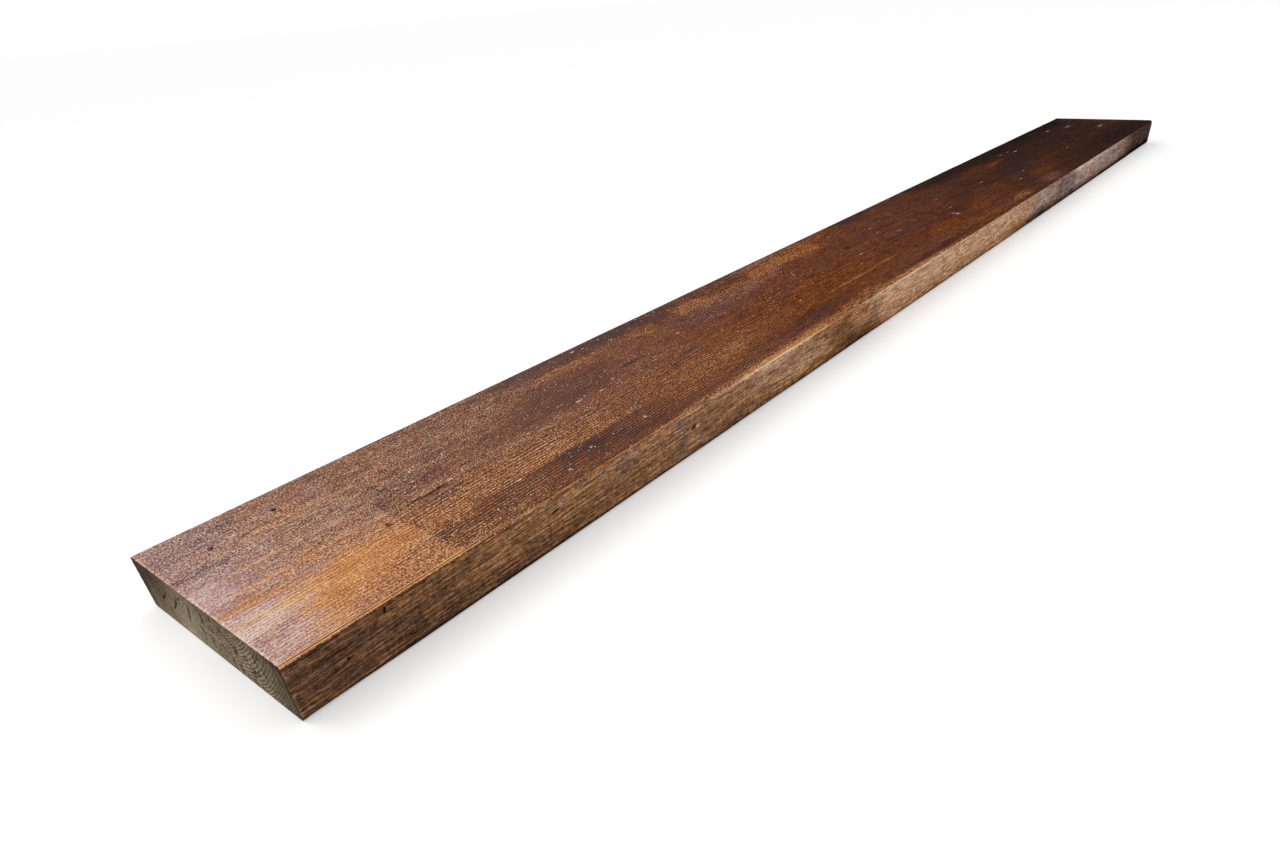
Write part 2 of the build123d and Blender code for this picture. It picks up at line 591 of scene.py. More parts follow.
def planed_face(finish):
    """Planed softwood with a brown stain: dark where thick, golden where thin, pale where dry."""
    names = [name for name in VALUE_NAMES if name != "soil"]
    material, tree, shader, place, stored = new_material("planed_softwood_brown_stain", names)

    # Fibres and pores are finer than a tenth of a millimetre, too fine to show, so they are drawn
    # as coarse as they need to show
    fibre = streaks(tree, place, (8.0, 1.2, 1.2))
    fleck = streaks(tree, place, (1.2, 0.8, 0.8), roughness=0.9)
    hue = streaks(tree, place, (14.0, 3.0, 3.0))
    mottle = streaks(tree, place, (22.0, 7.0, 7.0), detail=5.0, roughness=0.7, distortion=0.4)
    rings = ring_profile(tree, stored["rings"], fibre, 0.3)

    # Lightness: the painted zones of stain, sheen and shade, then blotches, rings, fibres and flecks
    painted = stored["tone"]
    stops = greys(
        (0.10, 0.18), (0.27, 0.24), (0.355, 0.54), (0.385, 0.90), (0.43, 0.95), (0.60, 0.82),
        (0.75, 0.40),
    )
    grain_share = add_node(tree, "ValToRGB", {"Fac": painted}, stops=stops)
    stops = greys((0.10, 0.06), (0.44, 0.44), (0.62, 0.16))
    ring_share = add_node(tree, "ValToRGB", {"Fac": painted}, stops=stops)
    ringed = weighed(tree, 0.0, (rings, ring_share))
    grain = weighed(tree, 0.0, (fibre, 1.3), (fleck, 4.6))
    tone = weighed(tree, painted, (mottle, 0.30), (ringed, stored["ridges"]), (grain, grain_share))
    shifts = ((hue, 2.2), (fleck, -5.0), (fibre, -1.2), (rings, 0.3))
    coolness = weighed(tree, stored["coolness"], *shifts)
    warm = (
        *map(linear, ("#1a1311", "#33231c", "#562d19")),
        finish.stain_rust,
        linear("#aa5a28"),
        finish.stain_gold,
        *map(linear, ("#db9c58", "#f0d4b0")),
    )
    cool = (
        "#171417", "#2e2322", "#4b3632", "#6d4e4a", "#8d605a", "#ab7b72", "#ccaaa5", "#f0dcd6",
    )
    colour = stain_colour(tree, tone, coolness, warm, map(linear, cool))

    # Painted highlight on the rounded top arris: two golden highlight lines with a painted shade line
    # between them, where light falls on the curve
    highlight_band_stops = greys((0.15, 0), (0.18, 1), (0.44, 1), (0.48, 0))
    highlight_line_stops = greys(
        (0.16, 0.45), (0.19, 0.90), (0.25, 0.85), (0.275, 0), (0.335, 0), (0.36, 0.75),
        (0.43, 0.65), (0.47, 0.20),
    )
    band = add_node(tree, "ValToRGB", {"Fac": stored["turn"]}, stops=highlight_band_stops)
    lines = add_node(tree, "ValToRGB", {"Fac": stored["turn"]}, stops=highlight_line_stops)
    breaks = streaks(tree, place, (24.0, 3.0, 3.0), detail=5.0)
    patchy = add_node(tree, "MapRange", {0: breaks, 1: -0.14, 2: 0.04, 3: 0.1})
    for share in (stored["rubbed"], patchy):
        band = add_node(tree, "Math", {0: band, 1: share}, operation="MULTIPLY")
    # Colours of the painted arris highlight
    worn = weighed(tree, lines, (fleck, 0.5), (breaks, 0.8))
    arris_highlight_stops = ((0.0, linear("#6b3318")), (0.5, linear("#c97c3c")), (1.0, linear("#f6cf94")))
    worn = add_node(tree, "ValToRGB", {"Fac": worn}, stops=arris_highlight_stops)
    inputs = {MIX_SHARE: band, MIX_UNDER: colour, MIX_OVER: worn}
    colour = add_node(tree, "Mix", inputs, MIX_COLOUR, data_type="RGBA")

    # Dust and lifted fibre lie in loose clusters
    clusters = add_node(tree, "MapRange", {0: mottle, 1: -0.12, 2: 0.10, 3: 0.45})
    flecks = dust(tree, place, 1.9, 0.42)
    for share in (clusters, stored["dusty"]):
        flecks = add_node(tree, "Math", {0: flecks, 1: share}, operation="MULTIPLY")
    # The near-black tint in the pin holes and the split is painted shade
    colour = tinted(
        tree, colour, (flecks, "#fff2dc"), (stored["speck"], "#f2e3cc"), (stored["hollow"], "#0b0807")
    )

    height = weighed(tree, 0.0, (fibre, 0.9), (fleck, 1.0), (rings, 0.4))
    bump = add_node(tree, "Bump", {"Strength": 1.0, "Distance": 0.4 * MM, "Height": height})
    tree.links.new(colour, shader.inputs["Base Color"])
    tree.links.new(weighed(tree, 0.6, (fibre, 0.5)), shader.inputs["Roughness"])
    tree.links.new(bump, shader.inputs["Normal"])
    tree.links.new(stored["gloss"], shader.inputs["Specular IOR Level"])
    return material


def sawn_edge():
    """Sawn softwood under a thin stain: raised rings, fine saw ripple, pale where it is dry."""
    names = ("rings", "ridges", "tone", "coolness", "hollow", "speck")
    material, tree, shader, place, stored = new_material("sawn_softwood_thin_stain", names)

    # Fibres are drawn as coarse as they need to show, and the ripple is the saw's feed per tooth
    fibre = streaks(tree, place, (16.0, 0.8, 0.8))
    fleck = streaks(tree, place, (2.8, 0.8, 0.8), roughness=0.9)
    hue = streaks(tree, place, (14.0, 2.2, 2.2))
    mottle = streaks(tree, place, (16.0, 8.0, 8.0), detail=4.0, roughness=0.65)
    ripple = streaks(tree, place, (2.6, 9.0, 9.0), detail=1.0)
    rings = ring_profile(tree, stored["rings"], fibre, 0.5)

    painted = stored["tone"]
    grain_share = add_node(tree, "MapRange", {0: painted, 1: 0.1, 2: 0.5, 3: 0.5})
    ringed = weighed(tree, 0.0, (rings, 0.14))
    ridged = (ringed, stored["ridges"])
    grain = weighed(tree, 0.0, (fibre, 1.3), (fleck, 1.2), (ripple, 0.3), ridged)
    tone = weighed(tree, painted, (mottle, 0.24), (grain, grain_share))
    coolness = weighed(tree, stored["coolness"], (hue, 2.8), (fibre, -1.4), (fleck, -0.8))
    warm = (
        "#1c1411", "#35251c", "#533a28", "#735135", "#9a6b45", "#b98258", "#d3a781", "#f0dabd",
    )
    cool = (
        "#171314", "#312525", "#4b3a38", "#66514d", "#85716c", "#a08b84", "#c3aea5", "#e3d2c8",
    )
    colour = stain_colour(tree, tone, coolness, map(linear, warm), map(linear, cool))
    # The near-black tint in the slit, dent, nick and split is painted shade
    colour = tinted(tree, colour, (stored["speck"], "#e2c9a0"), (stored["hollow"], "#0b0807"))

    height = weighed(tree, 0.0, (fibre, 1.0), (fleck, 0.8), (ripple, 0.6))
    bump = add_node(tree, "Bump", {"Strength": 1.0, "Distance": 0.6 * MM, "Height": height})
    tree.links.new(colour, shader.inputs["Base Color"])
    tree.links.new(weighed(tree, 0.75, (fibre, 0.3)), shader.inputs["Roughness"])
    tree.links.new(bump, shader.inputs["Normal"])
    shader.inputs["Specular IOR Level"].default_value = 0.0
    return material


def bare_end(finish):
    """Crosscut softwood, bare and weathered grey green: year rings, rays and open checks."""
    names = ("rings", "ridges", "soil", "hollow")
    material, tree, shader, place, stored = new_material("crosscut_softwood_weathered", names)

    # Pores are drawn as coarse as they need to show
    pores = streaks(tree, place, (1.8, 1.8, 1.8), roughness=0.9)
    mottle = streaks(tree, place, (9.0, 9.0, 9.0), roughness=0.6)
    # Pits stand in short rows along the rays, which run nearly upright
    rays = streaks(tree, place, (4.0, 1.5, 4.5), detail=2.0, roughness=0.6)
    rings = ring_profile(tree, stored["rings"], pores, 0.9)

    # Each ring's dark line is broken and stands out only where the saw cut clean
    broken = add_node(tree, "MapRange", {0: mottle, 1: -0.2, 2: 0.1, 3: 0.4})
    lines = weighed(tree, 0.5, (rings, 1.0))
    for share in (stored["ridges"], broken):
        lines = add_node(tree, "Math", {0: lines, 1: share}, operation="MULTIPLY")
    pits = add_node(tree, "MapRange", {0: rays, 1: 0.05, 2: 0.14, 4: 0.9})
    pits = add_node(tree, "Math", {0: pits, 1: stored["ridges"]}, operation="MULTIPLY")
    wood = (*finish.bare_wood, 1)
    colour = tinted(tree, wood, (lines, "#392c1d"), (pits, "#33271b"), (stored["soil"], "#4a3d31"))
    shade = weighed(tree, 0.5, (mottle, 0.6), (pores, 2.2))
    stops = greys((0.0, 0.1), (1.0, 0.9))
    shade = add_node(tree, "ValToRGB", {"Fac": shade}, stops=stops)
    inputs = {MIX_SHARE: 0.9, MIX_UNDER: colour, MIX_OVER: shade}
    colour = add_node(tree, "Mix", inputs, MIX_COLOUR, data_type="RGBA", blend_type="OVERLAY")
    # The dark tint in the drying checks is painted shade
    colour = tinted(tree, colour, (stored["hollow"], "#1d160f"))

    height = weighed(tree, 0.0, (rings, -0.8), (pores, 1.2))
    bump = add_node(tree, "Bump", {"Strength": 1.0, "Distance": 0.5 * MM, "Height": height})
    tree.links.new(colour, shader.inputs["Base Color"])
    tree.links.new(bump, shader.inputs["Normal"])
    shader.inputs["Roughness"].default_value = 0.85
    shader.inputs["Specular IOR Level"].default_value = 0.0
    return material


def heart(along):
    """Where the heart of the log lies at this place along the board."""
    sway_across, sway_up = (HEART_SWAY * sin(along / wave) for wave in HEART_WAVES)
    return HEART_ACROSS + sway_across, HEART_UP + HEART_TAPER * along + sway_up


def knot_distance(along, up):
    """How far from the knot's middle, as a share of its own size."""
    knot_along, knot_up, half_length, half_height = KNOT
    return hypot((along - knot_along) / half_length, (up - knot_up) / half_height)


def ring_number(along, across, up):
    """Years counted out from the heart, with the rings bent round the knot."""
    heart_across, heart_up = heart(along)
    # No ring is quite round, and good and poor years come in runs
    radius = hypot(across - heart_across, up - heart_up)
    radius += 1.4 * waver(along, across, up, 170, 32) + 0.5 * waver(along, across, up + 90, 60, 12)
    nearness = exp(-((across / KNOT_REACH) ** 2))
    radius += KNOT_PUSH * nearness * exp(-((knot_distance(along, up) / 1.3) ** 2))
    return radius / RING_SPACING + 0.7 * sin(radius / 6.1)


def step_places(length):
    """Places of the mesh's cross sections, closest at the close end, and close at the far end."""
    places = [0.0]
    while places[-1] < length - sum(STRUCK_STEPS) - LONGEST_STEP:
        places.append(places[-1] + min(FIRST_STEP + STEP_GROWTH * places[-1], LONGEST_STEP))
    for number in range(len(STRUCK_STEPS)):
        places.append(length - sum(STRUCK_STEPS[number:]))
    return [*places, length]


def rounded_section(mesh, arris):
    """The outline of the plank's section at its close end, as a loop of edges."""
    bmesh.ops.create_grid(mesh, x_segments=1, y_segments=1, size=0.5)
    bmesh.ops.scale(mesh, vec=(WIDTH, THICKNESS, 1), verts=mesh.verts[:])
    bmesh.ops.bevel(
        mesh,
        geom=mesh.verts[:],
        offset=arris,
        offset_type="OFFSET",
        affect="VERTICES",
        segments=ARRIS_SEGMENTS,
        profile=0.5,
        material=-1,
    )
    bmesh.ops.delete(mesh, geom=mesh.faces[:], context="FACES_ONLY")
    for edge in mesh.edges[:]:
        middle = (edge.verts[0].co + edge.verts[1].co) / 2
        if abs(middle.y) > THICKNESS / 2 - SNAP:
            spacing = TOP_SPACING if middle.y > 0 else UNDER_SPACING
        elif abs(middle.x) > WIDTH / 2 - SNAP:
            spacing = EDGE_SPACING if middle.x < 0 else 2 * EDGE_SPACING
        else:
            continue
        bmesh.ops.subdivide_edges(mesh, edges=[edge], cuts=round(edge.calc_length() / spacing) - 1)
    upright = Matrix(((0, 0, 1, 0), (1, 0, 0, WIDTH / 2), (0, 1, 0, THICKNESS / 2), (0, 0, 0, 1)))
    bmesh.ops.transform(mesh, matrix=upright, verts=mesh.verts[:])
    return mesh.edges[:]


def draw_out(mesh, loop):
    """Draws the section out to the far end. Returns the long edges and the far loop."""
    made = bmesh.ops.extrude_edge_only(mesh, edges=loop)["geom"]
    verts = [part for part in made if isinstance(part, bmesh.types.BMVert)]
    bmesh.ops.translate(mesh, verts=verts, vec=(LENGTH, 0, 0))
    far_loop = [edge for edge in mesh.edges if all(v.co.x > LENGTH / 2 for v in edge.verts)]
    long_edges = [edge for edge in mesh.edges if edge.calc_length() > LENGTH / 2]
    return long_edges, far_loop


def divide_length(mesh, long_edges, places):
    """Divides the long edges and slides the new points to their places along the board."""
    parts = len(places) - 1
    bmesh.ops.subdivide_edges(mesh, edges=long_edges, cuts=parts - 1, use_grid_fill=True)
    for vert in mesh.verts:
        vert.co.x = places[round(vert.co.x / LENGTH * parts)]


def close_with_grid(mesh, loop):
    """Closes an end with a face, cut into a grid in line with the points of the top and front."""
    outline = {vert for edge in loop for vert in edge.verts}
    acrosses = {round(v.co.y, 4) for v in outline if v.co.z > THICKNESS - SNAP}
    ups = {round(v.co.z, 4) for v in outline if v.co.y < SNAP}
    face = bmesh.ops.edgeloop_fill(mesh, edges=loop)["faces"][0]
    geom = [face, *face.edges, *face.verts]
    for normal, places in ((Vector((0, 1, 0)), acrosses), (Vector((0, 0, 1)), ups)):
        for place in sorted(places):
            geom = bmesh.ops.bisect_plane(
                mesh, geom=geom, dist=100 * SNAP, plane_co=place * normal, plane_no=normal
            )["geom"]


def refine(mesh, faces, cuts):
    """Divides the given faces into smaller ones."""
    edges = {edge for face in faces for edge in face.edges}
    bmesh.ops.subdivide_edges(mesh, edges=list(edges), cuts=cuts, use_grid_fill=True)


def outward(across, up, arris):
    """Direction out of the plank's rounded section at a point of its surface."""
    core_across = min(max(across, arris), WIDTH - arris)
    core_up = min(max(up, arris), THICKNESS - arris)
    direction = Vector((0, across - core_across, up - core_up))
    return direction.normalized() if direction.length > SNAP else direction


def check_share(across, up):
    """How deep in a drying check a point of the close end lies, from 0 to 1."""
    heart_across, heart_up = heart(0)
    deepest = 0.0
    for check_across, check_up, length, width in CHECKS:
        lean = atan2(heart_up - check_up, heart_across - check_across)
        on, off = across - check_across, up - check_up
        run = on * cos(lean) + off * sin(lean)
        side = off * cos(lean) - on * sin(lean) + 0.5 * waver(across, up, check_up, 5, 5)
        half = length / 2
        if abs(run) < half:
            edge = width / 2 * sqrt(1 - (run / half) ** 2) * (1 + 0.5 * waver(run, 0, length, 2, 2))
            deepest = max(deepest, 1 - abs(side) / edge)
    return deepest


def mark_share(marks, along, up):
    """How deep in one of the marks a point of the front edge lies, from 0 to 1, and its depth."""
    for mark_along, mark_up, half_length, half_width, lean, depth in marks:
        on, off = along - mark_along, up - mark_up
        run = on * cos(radians(lean)) + off * sin(radians(lean))
        side = off * cos(radians(lean)) - on * sin(radians(lean))
        reach = hypot(run / half_length, side / half_width)
        if reach < 1:
            return min(1.0, 3 * (1 - reach)), depth
    return 0.0, 0.0


def hole_share(along, across):
    """1 in a pin hole of the top face and 0 outside."""
    reach = min(hypot(along - a, across - c) for a, c in PIN_HOLES)
    return 1.0 if reach < PIN_HOLE_RADIUS else 0.0


def split_share(along, across):
    """How deep in the top face's split a point lies, from 0 to 1."""
    run = abs(along - SPLIT_ALONG) / SPLIT_HALF_LENGTH
    side = abs(across - SPLIT_ACROSS - 0.8 * waver(along, 0, 0, 8, 8)) / SPLIT_HALF_WIDTH
    return max(0.0, min(1.0, 1.8 * (1 - run**4 - side)))


def speck_share(along, across):
    """How much of a speck lies on a point of the top face. Specks far off are larger flakes."""
    share = 0.0
    for speck_along, speck_across, size in SPECKS:
        half_length = size * (0.7 + speck_along / 480)
        if abs(along - speck_along) < 2 * half_length:
            half_width = size * (0.36 + speck_along / 2400)
            reach = hypot((along - speck_along) / half_length, (across - speck_across) / half_width)
            ragged = 0.7 * waver(along, across, speck_along, 1.5 * half_length, half_width)
            share = max(share, ease(1.3, 0.6, reach + ragged))
    return share


def rub_arris(point, arris):
    """Moves a point of the top front arris back to the hollow that handling has worn."""
    drop = sqrt(2) - 1
    hollow = (WORN_RADIUS - arris) * drop
    turn_radius = (WORN_LENGTH / 2) ** 2 / (2 * hollow)
    rise = (point.x - WORN_ALONG) ** 2 / (2 * turn_radius)
    if rise > hollow:
        return
    centre = Vector((0, WORN_RADIUS - rise / sqrt(2), THICKNESS - WORN_RADIUS + rise / sqrt(2)))
    off = Vector((0, point.y - centre.y, point.z - centre.z))
    if off.y < 0 < off.z and off.length > WORN_RADIUS:
        off.length = WORN_RADIUS
        point.y = centre.y + off.y
        point.z = centre.z + off.z


def strike_corner(point):
    """Moves a point beyond the struck corner's flat back onto it."""
    normal = Vector((1, -1, 1)).normalized()
    over = (point - Vector((LENGTH, 0, THICKNESS))).dot(normal) + KNOCK_DEPTH
    if over > 0:
        point -= over * normal


def stained(zones, along, other):
    """How much lighter and cooler the painted zones make a point."""
    # Noise frays the outline of each zone, most of all along the grain
    push_along = 5 * waver(along, other, 0, 22, 9) + 2.5 * waver(along, other, 30, 7, 3)
    push_other = 3 * waver(along, other, 60, 22, 9) + 1.4 * waver(along, other, 90, 7, 3)
    lighter_sum = 0.0
    cooler_sum = 0.0
    for zone_along, zone_other, half_length, half_width, lighter, cooler in zones:
        reach = (along + push_along - zone_along) / half_length
        if abs(reach) > 1.6 or (along < COVERED_LENGTH) != (zone_along < COVERED_LENGTH):
            continue
        side = (other + push_other * min(1.0, half_width / 6) - zone_other) / half_width
        if abs(side) < 1.6:
            share = exp(-((reach * reach + side * side) ** 2) / 2)
            lighter_sum += lighter * share
            cooler_sum += cooler * share
    return lighter_sum, cooler_sum


def face_stain(along, across):
    """Lightness and coolness of the top face: its stain, with painted sheen near the close end and
    painted shade toward the far end.
    """
    lighter, cooler = stained(TOP_STAIN, along, across)
    back = ease(30, 110, across)
    tone = read_off(TOP_TONES, along) + lighter
    coolness = 0.25 + cooler + 0.3 * back + 0.2 * ease(900, 1200, along)
    coolness += 0.1 * ease(70, 40, along)
    coolness += 0.08 * ease(300, 240, along)
    # Pinkish painted sheen near the close end
    coolness += 0.7 * ease(40, 0, along) * ease(115, 90, across)
    tone -= 0.08 * ease(105, 135, across) * ease(880, 1100, along)
    # Dark band along the front of the part that lay open, ending sharply toward the middle
    border = across + 1.2 * waver(along, 0, 0, 30, 30)
    band = 0.08 * ease(0, 1, along - COVERED_LENGTH) * ease(30.5, 28.5, border)
    tone -= band * ease(320, 210, along)
    if along < COVERED_LENGTH:
        tone -= 0.09 * back
        coolness += 0.25 * back
        # Rim of the close end, worn pale here and there
        rim = ease(2.2, 0.3, along) * ease(-0.3, 0.4, waver(0, across, 0, 1, 2))
        tone += 0.3 * rim
        coolness -= 0.7 * rim
    return tone, coolness


def edge_stain(along, up):
    """Lightness and coolness of the stain on the front and back edges, with painted shadow along
    their foot.
    """
    lighter, cooler = stained(EDGE_STAIN, along, up)
    tone = read_off(EDGE_TONES, along) + lighter
    # Darker toward the underside
    tone -= (0.02 + 0.08 * ease(60, 400, along)) * ease(18, 2, up)
    tone -= 0.2 * ease(880, 1120, along) * ease(10, 3, up)
    # Painted shadow along the foot of the edge, where the board meets the floor
    shadow_height = 3.0 + 3.0 * ease(900, 1450, along)
    tone -= 0.45 * ease(shadow_height, 0.4 * shadow_height, up) * ease(-60, 100, along)
    # Dark line under the worn arris, and worn gold along the sawn end
    tone -= 0.09 * ease(28.3, 29.8, up) * ease(300, 120, along)
    worn_end = ease(1.7, 0.4, along) * ease(-0.3, 0.3, waver(0, 0, up, 1, 3))
    tone += 0.15 * worn_end
    return tone, cooler + read_off(EDGE_COOLNESS, along)


def share_over_arris(across, out, arris):
    """How far a point lies round the top front arris, from 4 mm in on the top, over 8 mm."""
    if out.y < -SNAP:
        return min(1.0, (4 - arris + atan2(-out.y, max(out.z, 0)) * arris) / 8)
    return max(0.0, (4 - across) / 8)


def surface_values(along, across, up, out, arris):
    """What the materials read at a point: stain tone and coolness, rings, wear, dust and soil."""
    values = dict.fromkeys(VALUE_NAMES, 0.0)
    values["rings"] = ring_number(along, across, up)
    facing_up = ease(0.5, 0.75, out.z)
    if out.z < -0.9:
        values["tone"] = read_off(TOP_TONES, along + 250)
        values["coolness"] = 0.2
    elif facing_up == 1.0:
        values["tone"], values["coolness"] = face_stain(along, across)
    else:
        tone, coolness = edge_stain(along, up)
        if facing_up > 0:
            face_tone, face_coolness = face_stain(along, across)
            tone += (face_tone - tone) * facing_up
            coolness += (face_coolness - coolness) * facing_up
        values["tone"], values["coolness"] = tone, coolness
    values["turn"] = share_over_arris(across, out, arris)
    # Strength of the painted arris highlight along the board
    if out.y > -SNAP:
        values["rubbed"] = ease(140, 90, along)
    else:
        values["rubbed"] = max(0.6 * ease(560, 240, along), ease(150, 90, along))
    # Stretch of the arris rubbed down to pale wood
    if out.z > 0:
        pale = exp(-(((along - 395) / 80) ** 2)) + 0.5 * exp(-(((along - 620) / 90) ** 2))
        values["tone"] += 0.34 * pale * ease(4.6, 2.6, across)
    values["gloss"] = 0.1 * ease(500, 60, along)
    values["dusty"] = ease(60, 140, along) * (0.15 + ease(800, 420, along)) + 0.1
    values["dusty"] *= 1 - 0.7 * ease(58, 46, across) * ease(270, 330, along)
    if abs(out.z) > 0.7:
        values["ridges"] = 0.15 + 0.85 * ease(62, 48, across)
    else:
        values["ridges"] = ease(420, 60, along)
    return values


def end_values(across, up):
    """What the end grain's material reads: how clear the rings are and how dark the soil is."""
    clear = 0.15 + 0.85 * ease(95, 66, across) - 0.25 * ease(35, 10, across)
    soil = 0.1 * ease(4, 10, up)
    soil += 0.35 * ease(14, 32, up + 0.1 * (across - 70))
    soil += 0.5 * ease(88, 128, across) * ease(2, 12, up + 0.3 * (across - 100))
    soil += 0.3 * ease(134, 143, across)
    soil += 0.6 * ease(36, 5, across) + 0.4 * ease(5, 0, across)
    return clear, soil


def wear_surface(mesh, arris, ridge_depth, check_depth):
    """Moves every point of the plain plank to where wear, sawing and drying have left it."""
    store = {name: [] for name in VALUE_NAMES}
    for vert in mesh.verts:
        along, across, up = vert.co
        out = outward(across, up, arris)
        values = surface_values(along, across, up, out, arris)
        on_close_end = along < SNAP
        on_far_end = along > LENGTH - SNAP
        inside_end = (on_close_end or on_far_end) and out.length < 0.5
        spring = 1 - (values["rings"] % 1.0) ** 1.5
        if not inside_end:
            level = abs(out.y) * ridge_depth * (0.25 + 0.75 * values["ridges"])
            level += abs(out.z) * 0.1 * ridge_depth
            wave = 0.5 + 0.5 * waver(along, across, up, 45, 14)
            vert.co -= out * (level * spring * 0.7 + UNEVENNESS * wave)
        if on_close_end:
            values["ridges"], values["soil"] = end_values(across, up)
            # The checks get painted shade in their depth
            depth = check_share(across, up) if inside_end else 0.0
            values["hollow"] = min(1.0, 3.0 * depth)
            chip = 0.0
            if out.z > 0.5:
                chip = CHIP_DEPTH * max(0.0, waver(0, across, 0, 1.1, 1.1) + 0.1)
                vert.co.z -= 0.7 * chip
            rough = END_ROUGHNESS * (1 + waver(0, across, up, 3, 1.5))
            vert.co.x += depth * check_depth + chip + rough
        elif on_far_end:
            values["ridges"], values["soil"] = end_values(across, up)
            vert.co.x -= END_ROUGHNESS * (1 + waver(0, across, up + 50, 3, 1.5))
        elif out.z > 0.99:
            in_hole = hole_share(along, across)
            in_split = split_share(along, across)
            vert.co.z -= max(PIN_HOLE_DEPTH * in_hole, SPLIT_DEPTH * in_split)
            # The pin holes and the split get painted shade
            values["hollow"] = max(in_hole, in_split)
            bright = 0.95 - 0.6 * ease(250, 750, along)
            values["speck"] = bright * speck_share(along, across)
        elif out.y < -0.99:
            depth, mark_depth = mark_share(FRONT_MARKS, along, up)
            vert.co.y += depth * mark_depth
            # The front marks get painted shade in their depth
            values["hollow"] = depth
            values["speck"] = mark_share(SPLINTERS, along, up)[0]
        rub_arris(vert.co, arris)
        strike_corner(vert.co)
        for name in VALUE_NAMES:
            store[name].append(values[name])
    return store


def faces_near(mesh, spots, reach):
    """Faces whose middle is within reach of one of the spots."""
    places = [Vector(spot) for spot in spots]
    found = []
    for face in mesh.faces:
        middle = face.calc_center_median()
        if any((middle - place).length < reach for place in places):
            found.append(face)
    return found


def near_check(middle):
    """Whether a face of the close end lies near a drying check or along the top."""
    return middle.z > THICKNESS - EDGE_SPACING or any(
        check_share(middle.y + side, middle.z + rise) > 0
        for side in (-CHECK_REACH_ACROSS, 0, CHECK_REACH_ACROSS)
        for rise in (-CHECK_REACH_UP, 0, CHECK_REACH_UP)
    )


def divide_details(mesh):
    """Divides the mesh more finely round checks, holes, marks, specks and the split."""
    middles = {face: face.calc_center_median() for face in mesh.faces}
    checked = [face for face, middle in middles.items() if middle.x < SNAP and near_check(middle)]
    refine(mesh, checked, CHECK_CUTS)
    spots = [(along, across, THICKNESS) for along, across in PIN_HOLES]
    spots += [(mark[0], 0, mark[1]) for mark in FRONT_MARKS]
    refine(mesh, faces_near(mesh, spots, MARK_REACH), DETAIL_CUTS)
    for nearest, farthest, reach in SPECK_REACHES:
        spots = [(*speck[:2], THICKNESS) for speck in SPECKS if nearest < speck[0] < farthest]
        refine(mesh, faces_near(mesh, spots, reach), DETAIL_CUTS)
    half = round(SPLIT_HALF_LENGTH)
    runs = range(-half, half + 1, SPLIT_STEP)
    spots = [(SPLIT_ALONG + run, SPLIT_ACROSS, THICKNESS) for run in runs]
    refine(mesh, faces_near(mesh, spots, SPLIT_REACH), DETAIL_CUTS)


def cut_of(normal):
    """How the face with this normal was cut: planed, sawn or crosscut."""
    on_lower_arris = -0.95 < normal.z < -0.05 and abs(normal.y) > 0.1
    if abs(normal.x) > 0.9:
        return CROSSCUT
    if abs(normal.y) > 0.97 or on_lower_arris:
        return SAWN
    return PLANED


def assign_cuts(mesh):
    """Gives each face the material of its cut, smooth but for a sharp edge round each end."""
    bmesh.ops.recalc_face_normals(mesh, faces=mesh.faces[:])
    for face in mesh.faces:
        face.smooth = True
        face.material_index = cut_of(face.normal)
    for edge in mesh.edges:
        if len({face.material_index == CROSSCUT for face in edge.link_faces}) == 2:
            edge.smooth = False


def new_object(name, data):
    """Makes an object of the data and adds it to the scene."""
    made = bpy.data.objects.new(name, data)
    bpy.context.scene.collection.objects.link(made)
    return made


def make_plank(shape, finish):
    """The whole board as one closed mesh, worked in millimetres and then placed in metres."""
    arris = shape.arris_radius / MM
    mesh = bmesh.new()
    first_loop = rounded_section(mesh, arris)
    long_edges, last_loop = draw_out(mesh, first_loop)
    close_with_grid(mesh, first_loop)
    close_with_grid(mesh, last_loop)
    divide_length(mesh, long_edges, step_places(LENGTH))
    divide_details(mesh)
    assign_cuts(mesh)
    store = wear_surface(mesh, arris, shape.ridge_depth / MM, shape.check_depth / MM)
    into_frame = Matrix.Translation((CLOSE_END * MM, FRONT * MM, 0)) @ Matrix.Scale(MM, 4)
    bmesh.ops.transform(mesh, matrix=into_frame, verts=mesh.verts[:])

    data = bpy.data.meshes.new("worn_plank")
    mesh.to_mesh(data)
    mesh.free()
    for name, values in store.items():
        data.attributes.new(name, "FLOAT", "POINT").data.foreach_set("value", values)
    for material in (planed_face(finish), sawn_edge(), bare_end(finish)):
        data.materials.append(material)
    return new_object("worn_plank", data)


class BOARD_OT_make_plank(bpy.types.Operator):
    """Make the worn, stained plank around the plain solid"""

    bl_idname = "board.make_plank"
    bl_label = "Make Plank"

    def execute(self, context):
        plank = make_plank(context.scene.board_shape, context.scene.board_finish)
        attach(plank, "root")
        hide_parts(PLANK)
        return {"FINISHED"}


def floor_material():
    """Matt white paper. To the camera it glows a little, so only the board's shadow shows."""
    material, tree, shader = new_material("matt_white_paper")[:3]
    shader.inputs["Base Color"].default_value = (0.9, 0.9, 0.9, 1)
    shader.inputs["Roughness"].default_value = 1.0
    shader.inputs["Specular IOR Level"].default_value = 0.0
    shader.inputs["Emission Color"].default_value = (1, 1, 1, 1)
    seen = add_node(tree, "LightPath", output="Is Camera Ray")
    glow = add_node(tree, "Math", {0: seen, 1: FLOOR_GLOW}, operation="MULTIPLY")
    tree.links.new(glow, shader.inputs["Emission Strength"])
    return material


def make_floor():
    """A floor of matt white paper that runs far out of the picture."""
    mesh = bmesh.new()
    bmesh.ops.create_grid(mesh, x_segments=1, y_segments=1, size=FLOOR_HALF_WIDTH)
    data = bpy.data.meshes.new("floor")
    mesh.to_mesh(data)
    mesh.free()
    data.materials.append(floor_material())
    return new_object("floor", data)


